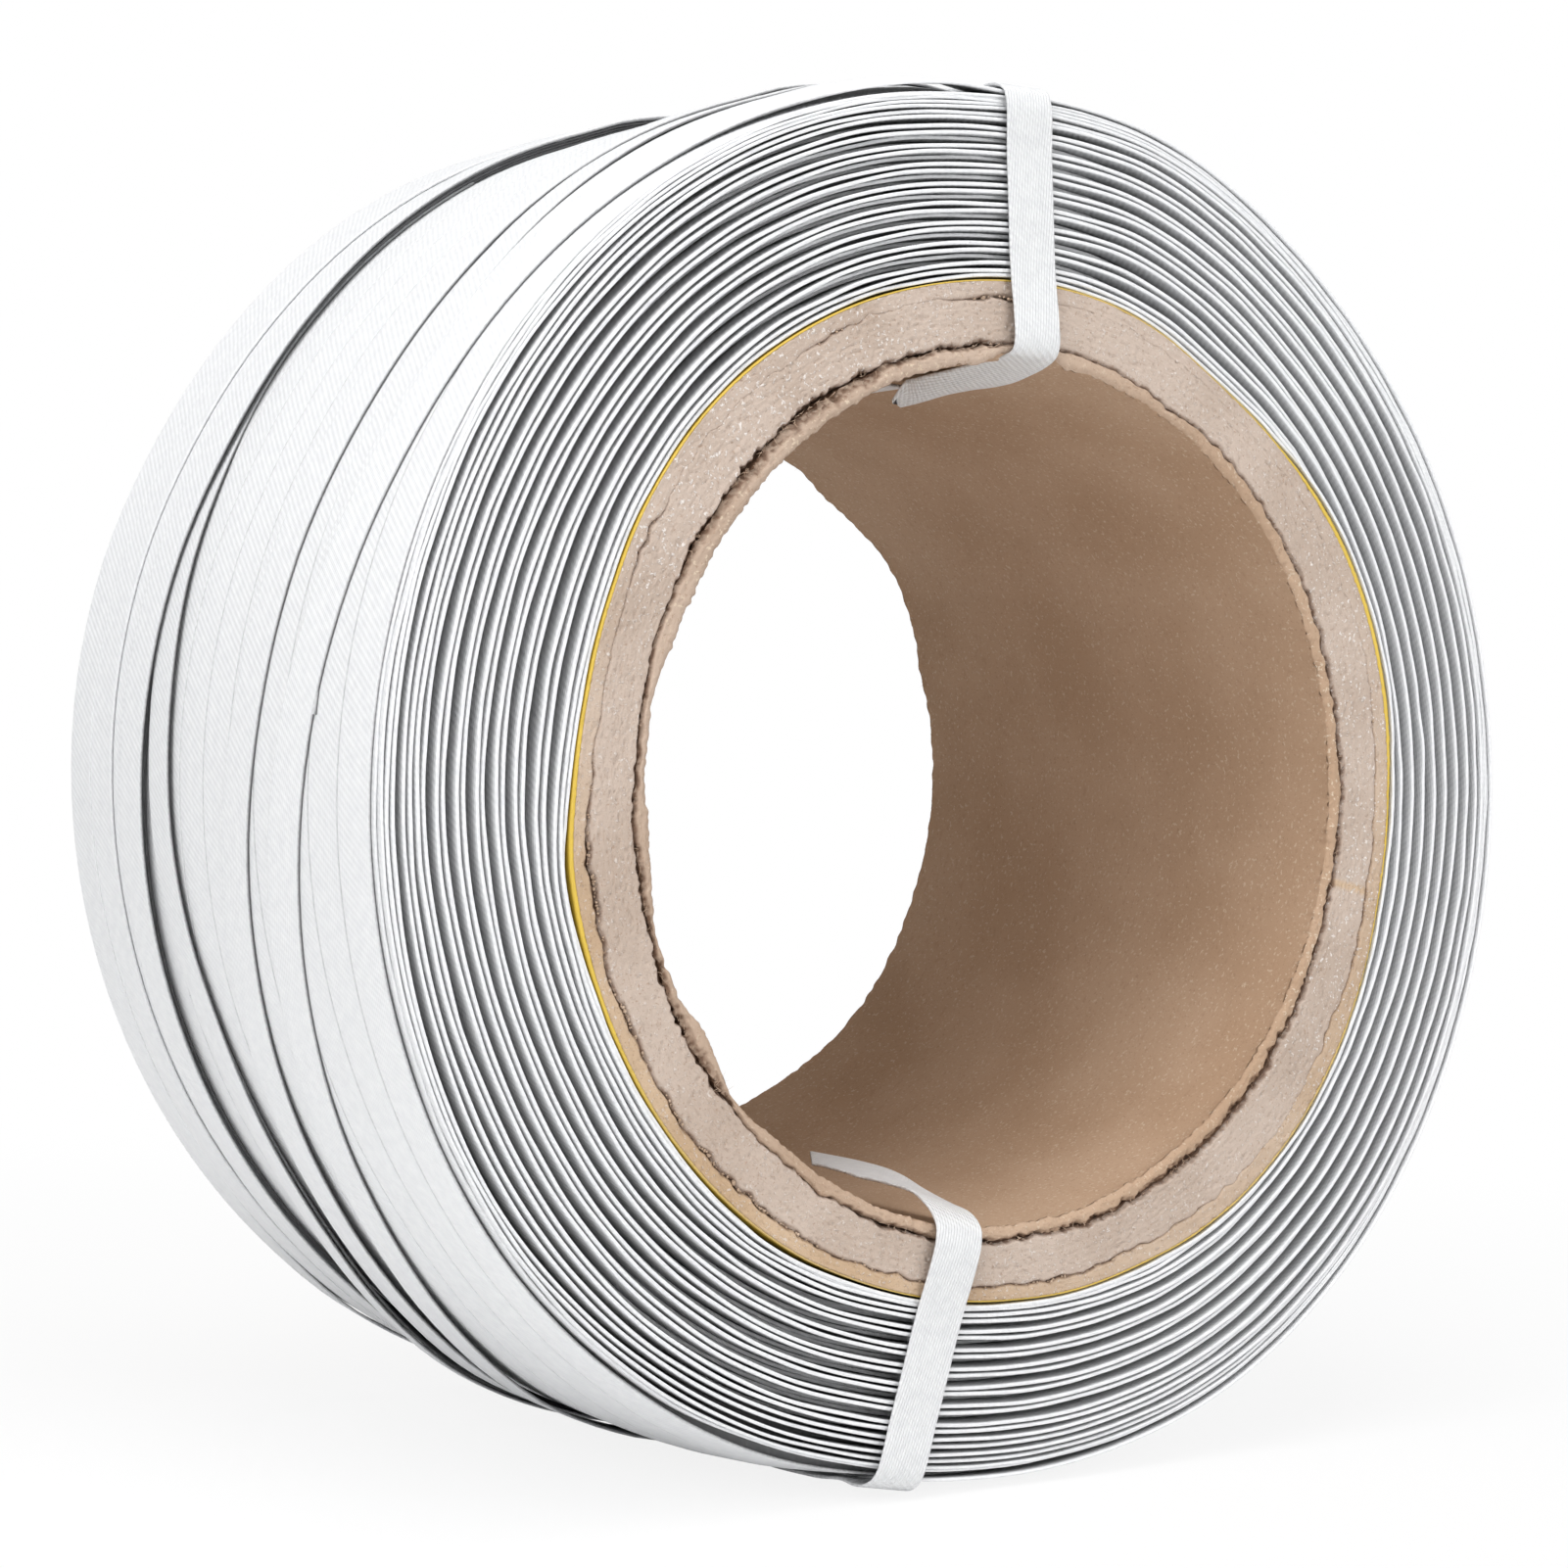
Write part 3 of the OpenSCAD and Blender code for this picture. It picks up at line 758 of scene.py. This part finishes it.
# How far the bore's wall stands in at the rear, where the core's end is crushed
REAR_IN = [(0, 3), (10, 2.9), (20, 2.6), (26, 1), (31, -0.7), (40, -1.7), (48, -0.4), (56, 0.5), (64, -0.6),
    (90, -0.9), (100, 0), (180, 0), (240, 1), (270, 3), (293, 4.6), (315, 3.8), (340, 4)]
# How tan the outer ply's and the lining's cut ends are, with a streak of glue on the board's
PLY_TAN = [(0, 0.5), (20, 0.1), (60, 0), (140, 0), (175, 0.3), (195, 0.9), (250, 1), (268, 0.8), (300, 0.5),
    (335, 0.7)]
LINING_TAN = [(0, 0.95), (50, 0.85), (80, 0.6), (100, 0.4), (160, 0.4), (200, 0.5), (262, 0.8), (300, 0.95)]
GLUE_STREAK = [(0, 0), (348.3, 0), (348.8, 0.9), (349.3, 0.9), (349.8, 0)]
# Where the film's edge is torn, and how wide the lining's end is torn along its crack
FILM_TORN_AT = [(0, 0), (45, 0), (60, 0.6), (90, 0.3), (110, 0), (205, 0), (220, 0.5), (245, 0.8),
    (262, 0.2), (290, 0.2), (320, 0.7), (345, 0.3)]
LINING_TORN = [(0, 0.7), (40, 0.5), (80, 0.3), (95, 0.6), (108, 0.8), (120, 2.2), (140, 2.2), (152, 1),
    (165, 0.4), (205, 0.8), (215, 1.6), (222, 0.5), (262, 0.6), (290, 1), (310, 1.4), (335, 0.6)]
# Where the cut ends are white with loose flecks
FLECKS = [(0, 1), (20, 1.1), (35, 0.7), (60, 0.5), (90, 0.5), (105, 0.8), (125, 1.2), (150, 1.2),
    (165, 0.6), (200, 0.4), (262, 0.5), (320, 0.6), (340, 1)]


def on_core(points):
    """A table's curve, at each of the core's angles."""
    return round_through(points, core_angles)


fleck_share = on_core(FLECKS)


def core_swing(r, y):
    """The core is a little out of round at its front end, and crushed at the rear one."""
    share = clamp01((r - BORE_R) / (CORE_R - BORE_R))
    near = clamp01((-y - HALF_W + SWING_RUN) / SWING_RUN)
    far = clamp01((y - HALF_W + CRUSH_RUN) / CRUSH_RUN)
    crushed = on_core(REAR_IN) * clamp01(1 - share) ** 1.3 * ease(far)
    return on_core(CORE_SWING) * share ** 1.5 * ease(near) - crushed


def crack(r0, points, seed):
    """Middle and half width of a ragged crack round the core, and how much painted shade its edges get."""
    centre = r0 + 0.3 * ripple(core_angles, 5, 150, seed)
    wide = on_core(points)
    rag = clamp01(0.55 + 0.3 * ripple(core_angles, 15, 320, seed + 1))
    return centre, 0.3 * wide * (0.1 + 1.3 * rag ** 2), clamp01(wide / 0.8)


# The cracks and the bore's lips, at the front and at the rear
inner_cracks = (crack(CRACK_R, LINING_CRACK, 61), crack(CRACK_R, REAR_CRACK, 71))
outer_cracks = (crack(OUTER_CRACK_R, OUTER_CRACK, 81), crack(OUTER_CRACK_R, REAR_CRACK, 91))
lips = (on_core(LIP_IN) + 0.2 * ripple(core_angles, 12, 300, 62),
        0.25 + 0.2 * ripple(core_angles, 4, 160, 72))


def patches(across, cells, step, seed):
    """Smooth random patches from 0 to 1 in a cut end: cells round the core, and step mm across."""
    rows = 97
    table = np.random.default_rng(seed).random((cells, rows))
    a = core_angles / 360 * cells
    b = np.mod(across / step, rows)
    i = np.floor(a).astype(int)
    j = np.floor(b).astype(int)
    s = ease(a - i)
    t = ease(b - j)
    i2 = (i + 1) % cells
    j2 = (j + 1) % rows
    near = table[i, j] * (1 - s) + table[i2, j] * s
    far = table[i, j2] * (1 - s) + table[i2, j2] * s
    return near * (1 - t) + far * t


def cut_end(radii, seed, rough):
    """How far each point of a cut end lies behind the cut: fine plies, grain and dents."""
    plies = 0.14 * patches(radii, 60, 0.4, seed)
    grain = 0.22 * patches(radii, 1440, 0.35, seed + 1)
    dents = 0.45 * np.maximum(0, patches(radii, 700, 0.6, seed + 2) - 0.7) / 0.3
    return plies + grain + rough * dents


def tube(name, radii, inner, outer, seed, tans, torn, rough=1.0, steps=0.3, bevel=0.0):
    """A ply of the core. inner and outer give, for each end, its radius round the roll there
    and how much painted shade that edge gets along its crack; radii are those further in. tans
    says how tan its ends, outer wall and inner wall are, torn how wide the ends are torn along
    their inner and outer edge, rough how dented they are, steps how far apart their points lie,
    bevel how worn the inner edge is."""
    r_in, r_out = radii
    count = max(4, int((r_out - r_in) / steps))
    turn = np.radians(core_angles)
    rows = []

    def add(r, y, tan, dark, flecks=0.6):
        rows.append((ring_points(r + core_swing(r, y), turn, y), triples(tan, flecks, dark)))

    def end(n, side, order):
        (edge_in, dark_in), (edge_out, dark_out) = inner[n], outer[n]
        first = seed + 10 * n
        for u in order:
            r = edge_in + u * (edge_out - edge_in)
            from_in = r - edge_in
            from_out = edge_out - r
            lumps = 0.6 + 0.8 * patches(r, 420, 0.7, first + 3)
            zone_in = clamp01(1 - from_in / (0.3 + torn[0] * dark_in * lumps))
            zone_out = clamp01(1 - from_out / (0.3 + torn[1] * dark_out * lumps))
            zone = np.maximum(zone_in * dark_in, zone_out * dark_out)
            fallen = zone * (0.7 + 1.8 * patches(r, 900, 0.4, first + 4))
            grain = 0.6 * patches(r, 460, 0.8, first + 5)
            grain = grain + 0.4 * patches(r, 1100, 0.5, first + 6)
            # Painted shade in the torn, sunken zone by a crack, patchy with the grain, in the brown of torn
            # paper
            dark = clamp01(2 * zone) * (0.22 + 0.7 * ease(clamp01((grain - 0.42) / 0.2)))
            fallen = fallen + bevel * clamp01(1 - from_in / 1.5) ** 2
            back = cut_end(r, first, rough) + fallen
            add(r, side * (HALF_W - back), tans[0], dark, fleck_share * lumps)

    def wall(edges, r_far, order, tan):
        for n, depth in order:
            edge, dark = edges[n]
            r = edge + (r_far - edge) * ease(clamp01(depth / CRACK_DEPTH))
            # The crack walls carry their edge's painted shade, fading over the first 30 mm behind the cut
            # end
            add(r, (-1, 1)[n] * (HALF_W - depth - WALL_START), tan, dark * clamp01(1 - depth / 30))

    there = [(0, d) for d in ALONG_CORE] + [(1, d) for d in ALONG_CORE[-2::-1]]
    across = np.linspace(0, 1, count)
    end(0, -1, across)
    wall(outer, r_out, there, tans[1])
    end(1, 1, across[::-1])
    wall(inner, r_in, there[::-1], tans[2])
    points, place = (np.stack(part, 1) for part in zip(*rows))
    return piece_from(name, points, skin(CORE_STEPS, len(rows), loop=True), place)


def edge_of(cracks, way):
    """A ply's edges along the cracks: way is -1 inside them and +1 outside."""
    return [(middle_r + way * (half - 0.05), dark) for middle_r, half, dark in cracks]


clean = 0 * core_angles
bore_edge = [(BORE_R - lip, clean) for lip in lips]
ply_edge = [(PLY_R + clean, clean)] * 2
film_in = [(PLY_R + 0.05 + clean, clean)] * 2
film_out = [(CORE_R + on_core(FILM_BULGE), clean), (CORE_R + clean, clean)]
finish(tube("lining", (BORE_R, LINING_R), bore_edge, edge_of(inner_cracks, -1), 1,
            (on_core(LINING_TAN), 1, 1), (0.2, on_core(LINING_TORN)), 0.8, 0.2, 1.0),
       LINING, "core_lining")
finish(tube("board", (LINING_R, BOARD_R), edge_of(inner_cracks, 1), edge_of(outer_cracks, -1), 5,
            (on_core(GLUE_STREAK), 0.4, 0.4), (0.5, 0.6)),
       BOARD, "core_board")
finish(tube("outer_ply", (BOARD_R, PLY_R), edge_of(outer_cracks, 1), ply_edge, 9,
            (on_core(PLY_TAN), 1, 0.4), (0.6, 0), 0.8),
       PLY, "core_outer_ply")
finish(tube("film", (PLY_R + 0.05, CORE_R), film_in, film_out, 13,
            (on_core(FILM_TORN_AT), 0, 0), (0, 0), 0, 0.2),
       FILM, "core_film")


# ---- loose bits of the core ----
CRUMBS = 320  # at each end
CRUMB_SIZE = (0.2, 0.55)
FIBRES = 260  # at each end
BALL_SIDES = 6
BALL_RINGS = (0.6, -0.2, -0.9)  # their heights on the ball, as angles in radians


def ball():
    """Points and faces of a coarse ball."""
    points = [[0, 0, 1]]
    for b in BALL_RINGS:
        for a in np.arange(BALL_SIDES) * math.pi / 3 + b:
            points.append([math.cos(a) * math.cos(b), math.sin(a) * math.cos(b), math.sin(b)])
    points.append([0, 0, -1])
    faces = []
    for k in range(BALL_SIDES):
        k2 = (k + 1) % BALL_SIDES
        first, second, third = (1 + BALL_SIDES * ring for ring in range(len(BALL_RINGS)))
        faces += [(0, first + k, first + k2), (len(points) - 1, third + k2, third + k),
                  (first + k, second + k, second + k2, first + k2),
                  (second + k, third + k, third + k2, second + k2)]
    return np.array(points), faces


def crumbs(name, cracks, side, seed):
    """Torn lumps of board caught in a crack."""
    draw = np.random.default_rng(seed)
    middle_r, half, dark = cracks
    ball_points, ball_faces = ball()
    corners = len(ball_points)
    points = []
    faces = []
    weight = (half * dark) ** 0.7
    for n in draw.choice(CORE_STEPS, CRUMBS, p=weight / weight.sum()):
        size = draw.uniform(*CRUMB_SIZE) * (0.5 + min(1.0, 2 * half[n]))
        lump = ball_points * draw.uniform(0.65, 1.2, (corners, 1)) * draw.uniform(0.6, 1.2, 3) * size
        r = middle_r[n] + draw.uniform(-0.6, 0.6) * half[n]
        y = side * (HALF_W - draw.uniform(0.0, 0.9))
        if side < 0:
            r = r + core_swing(r, -HALF_W)[n]
        turn = math.radians(core_angles[n] + draw.uniform(-0.12, 0.12))
        faces += [tuple(corners * len(points) + k for k in face) for face in ball_faces]
        points.append(lump + [r * math.cos(turn), y, r * math.sin(turn)])
    points = np.concatenate(points)
    place = np.zeros_like(points)
    place[:, 0] = draw.uniform(0, 0.6)
    place[:, 2] = np.repeat(draw.uniform(0, 0.35, CRUMBS), corners)
    return piece_from(name, points, faces, place)


def fibres(name, cracks, side, seed):
    """Loose paper fibres along the lining's torn edge."""
    draw = np.random.default_rng(seed)
    middle_r, half, dark = cracks
    weight = half * dark
    steps = np.linspace(0, 1, 6)
    points = []
    faces = []
    for n in draw.choice(CORE_STEPS, FIBRES, p=weight / weight.sum()):
        long = draw.uniform(0.8, 2.6)
        thin = draw.uniform(0.05, 0.1)
        heading = draw.normal(size=3) * [1, 0.5, 1]
        heading = heading / np.linalg.norm(heading)
        bend = draw.normal(size=3) * 0.5 * long
        turn = math.radians(core_angles[n])
        r = middle_r[n] + core_swing(middle_r[n], side * HALF_W)[n]
        root = np.array([r * math.cos(turn), side * (HALF_W - 0.3), r * math.sin(turn)])
        line = root + steps[:, None] * heading * long + (steps ** 2)[:, None] * bend
        across = np.cross(heading, [0.3, 0.5, 0.8])
        across = across / np.linalg.norm(across)
        other = np.cross(heading, across)
        width = (thin * (1.1 - steps))[:, None]
        faces += skin(len(steps), 3, 3 * len(steps) * len(points))
        sides = (line + across * width, line + other * width, line - (across + other) * width)
        points.append(np.stack(sides, 1))
    points = np.concatenate(points)
    return piece_from(name, points, faces, np.zeros_like(points) + [0.7, 0, 0])


for n, (side, end_name) in enumerate(((-1, "front"), (1, "rear"))):
    finish(crumbs(f"board_crumbs_{end_name}", outer_cracks[n], side, 7 + n), BOARD, "core_board")
    finish(fibres(f"lining_fibres_{end_name}", inner_cracks[n], side, 9 + n), LINING, "core_lining")

# ---- ties ----
TIE_W = 13.2  # width of a tie
TIE_RIDE = 0.45  # how far its middle line runs over its underside
TIP_RUN = 20.0  # length of the tail that its slanting cut and its curl take
CORNER_RUN = 8.0  # and that the curl of its corner takes
# A tie's middle line, as (distance from the axis, y): from its free end in the bore to the rim in front,
TOP_FRONT = [(98.2, -30), (98.3, -38), (98.1, -48), (97.9, -56), (98.2, -64), (99.1, -72), (100, -78),
    (100.9, -81.2), (102.4, -82.7), (105, -83.2), (111, -82.8), (118, -82), (126, -81.6), (145, -81.6),
    (152, -82), (157, -82.3), (160.6, -81.6), (162.5, -79.2), (163.3, -75.5)]
LOW_FRONT = [(91.3, -21), (91.2, -31), (91.6, -43), (92.3, -50), (93.5, -60), (95, -72), (96.6, -77.5),
    (98.6, -80.7), (101, -82.5), (105, -83.2), (111, -82.8), (118, -82), (126, -81.6), (145, -81.6),
    (150, -81.9), (155, -82), (158.2, -81), (160, -78.5), (160.6, -75)]
# from the rear rim to its end in the bore,
TOP_REAR = [(166, 82), (150, 81.6), (120, 81.6), (105, 81.8), (101.2, 81.7), (100, 80.8), (99.8, 77),
    (99.7, 60), (99.6, 0), (99.6, -24)]
LOW_REAR = [(158, 81.8), (150, 81.6), (120, 81.6), (104, 81.8), (98.6, 81.8), (97.1, 81), (96.6, 79),
    (97, 74), (98, 60), (99.2, 40), (99.6, 20), (99.6, -6)]
# and between them, as y and the height over the wound layers
TIE_OVER = [(-70, 1.5), (-60, 1.5), (-40, 1.7), (-20, 1.8), (0, 1.8), (20, 1.8), (28, 1.9), (36, 3.8),
    (50, 4), (65, 4), (76, 4)]
# How much further out a tie's side towards larger angles lies, along the strap from its free end
TOP_TWIST = [(0, 0), (12, 0.4), (26, 2.4), (36, 2.8), (46, 1.6), (54, 0)]
LOW_TWIST = [(0, -2), (12, -2), (27, -1.6), (39, 0.9), (50, 2.2), (57, 0.8), (64, 0)]


def tie_over(angle):
    """The tie's route over the outside, from the front rim to the rear one."""
    turn = math.radians(angle)
    route = []
    for y, height in TIE_OVER:
        x0, z0 = middle(y)
        r = float(drum_r(angle, y)) + height + x0 * math.cos(turn) + z0 * math.sin(turn)
        route.append((r + TIE_RIDE, y))
    return route


def tie(name, front, rear, bore_a, turn_a, slant, curl, twist):
    """Strap tied round the winding. It lies at bore_a in the bore and turn_a further round
    outside. slant is how much longer one side of its free end is, and curl how far the middle
    hangs below the sides there."""
    route = np.array(front + tie_over(bore_a + turn_a) + rear, float)
    steps = run_length(*route.T)
    fine = np.arange(0, steps[-1], 0.8)
    d = hermite(steps, route[:, 0], fine)
    y = hermite(steps, route[:, 1], fine)
    run_d = np.gradient(d, fine)
    run_y = np.gradient(y, fine)
    size = np.hypot(run_d, run_y)
    middle_a = bore_a + turn_a * clamp01((d - BORE_R) / 60)
    a = np.radians(middle_a)
    over = clamp01((d - 152) / 8) * clamp01((HALF_W + 1 - abs(y)) / 8)
    tip = ease(clamp01(1 - fine / TIP_RUN))
    rolled = ease(clamp01(1 - fine / (2 * TIP_RUN)))
    corner = ease(clamp01(1 - fine / CORNER_RUN))
    tilt = through(twist, fine)
    points = []
    place = []
    for v, h, dark in SECTION:
        side = (0.5 - v) * TIE_W
        up = (0.5 - h) * STRAP_T
        there = drum_r(middle_a + np.degrees(side / d), y) - drum_r(middle_a, y)
        hang = curl * rolled * (1 - (2 * v - 1) ** 2) + 0.9 * curl * corner * (v < 0.2)
        dd = d - run_y / size * up + over * there - hang + tilt * side / TIE_W
        yy = y + run_d / size * up + slant * (v - 0.5) * tip
        points.append(triples(dd * np.cos(a) - side * np.sin(a), yy, dd * np.sin(a) + side * np.cos(a)))
        # A little painted shade on the tie's edges and underside, from the strap's section
        place.append(triples(fine, v * TIE_W, 0.3 * dark))
    return piece_from(name, np.stack(points, 1), skin(len(fine), len(SECTION)), np.stack(place, 1))


finish(tie("top_tie_strap", TOP_FRONT, TOP_REAR, 90, 1.5, 12, 4.5, TOP_TWIST), TIE, "top_tie")
finish(tie("bottom_tie_strap", LOW_FRONT, LOW_REAR, 261.7, -2.5, -20, 0.0, LOW_TWIST), TIE, "bottom_tie")

# ---- camera ----
CAMERA_AT = (-0.4489, -0.6401, 0.0007)  # metres
CAMERA_TURN = 34.43  # degrees from +Y towards +X
CAMERA_ROLL = 1.72  # degrees
CAMERA_LENS = 71.24  # millimetres


def place_camera():
    data = bpy.data.cameras.new("camera")
    data.lens = CAMERA_LENS
    data.sensor_width = 36.0
    data.clip_start = 0.05
    camera = add_object("camera", data)
    turn = math.radians(CAMERA_TURN)
    roll = math.radians(CAMERA_ROLL)
    ahead = Vector((math.sin(turn), math.cos(turn), 0))
    level = Vector((math.cos(turn), -math.sin(turn), 0))
    up = Vector((0, 0, 1))
    right = level * math.cos(roll) + up * math.sin(roll)
    top = up * math.cos(roll) - level * math.sin(roll)
    camera.matrix_world = Matrix.Translation(CAMERA_AT) @ Matrix((right, top, -ahead)).transposed().to_4x4()
    bpy.context.scene.camera = camera


place_camera()

# ---- floor and light ----
FLOOR_SIZE = 6.0  # metres


def camera_ray(tree):
    return add_node(tree, "LightPath", {}).outputs["Is Camera Ray"]


def mix_shaders(tree, share, first, second, out):
    """Shade with first, and with second as far as share says."""
    mixer = add_node(tree, "MixShader", {0: share, 1: first.outputs[0], 2: second.outputs[0]})
    tree.links.new(mixer.outputs[0], out.inputs["Surface"])


def floor():
    """Pale floor, which the camera sees as white away from the roll's shadow."""
    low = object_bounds()[0].z
    half = FLOOR_SIZE / 2
    mesh = bpy.data.meshes.new("floor")
    corners = [(x, y, low) for x, y in ((-half, -half), (half, -half), (half, half), (-half, half))]
    mesh.from_pydata(corners, [], [(0, 1, 2, 3)])
    obj = add_object("floor", mesh)
    material, tree, shader = new_material("floor_white", 0.8, 0.1)
    shader.inputs["Base Color"].default_value = (0.9, 0.9, 0.9, 1)
    glow = add_node(tree, "Emission", {"Strength": 1.0})
    away = ramp_node(tree, length_node(tree, space_node(tree)), 0.15, 0.7, 0.86, 1.0)
    share = times(tree, camera_ray(tree), away)
    mix_shaders(tree, share, shader, glow, tree.nodes["Material Output"])
    mesh.materials.append(material)
    obj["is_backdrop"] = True


def background(tree, strength):
    return add_node(tree, "Background", {"Color": (1, 1, 1, 1), "Strength": strength})


def world():
    """Soft light from all round, which the camera sees as white."""
    scene_world = bpy.data.worlds.new("studio")
    bpy.context.scene.world = scene_world
    scene_world.use_nodes = True
    tree = scene_world.node_tree
    tree.nodes.clear()
    mix_shaders(tree, camera_ray(tree), background(tree, 0.28), background(tree, 1.0),
                add_node(tree, "OutputWorld", {}))


def lamp(name, at, side, watts):
    """Square lamp that faces the middle of the roll."""
    data = bpy.data.lights.new(name, "AREA")
    data.shape = "SQUARE"
    data.size = side
    data.energy = watts
    obj = add_object(name, data)
    obj.location = at
    obj.rotation_euler = (-Vector(at)).to_track_quat("-Z", "Y").to_euler()


floor()
world()
lamp("lamp_above", (-0.4, -0.4, 1.4), 1.2, 19.5)
lamp("lamp_left", (-1.3, -0.6, 0.4), 1.0, 7.5)
lamp("lamp_front", (0.3, -1.5, 0.7), 1.0, 5.9)
lamp("lamp_right", (1.1, -1.3, 0.3), 1.0, 4.0)

bpy.context.scene.view_settings.view_transform = "Standard"
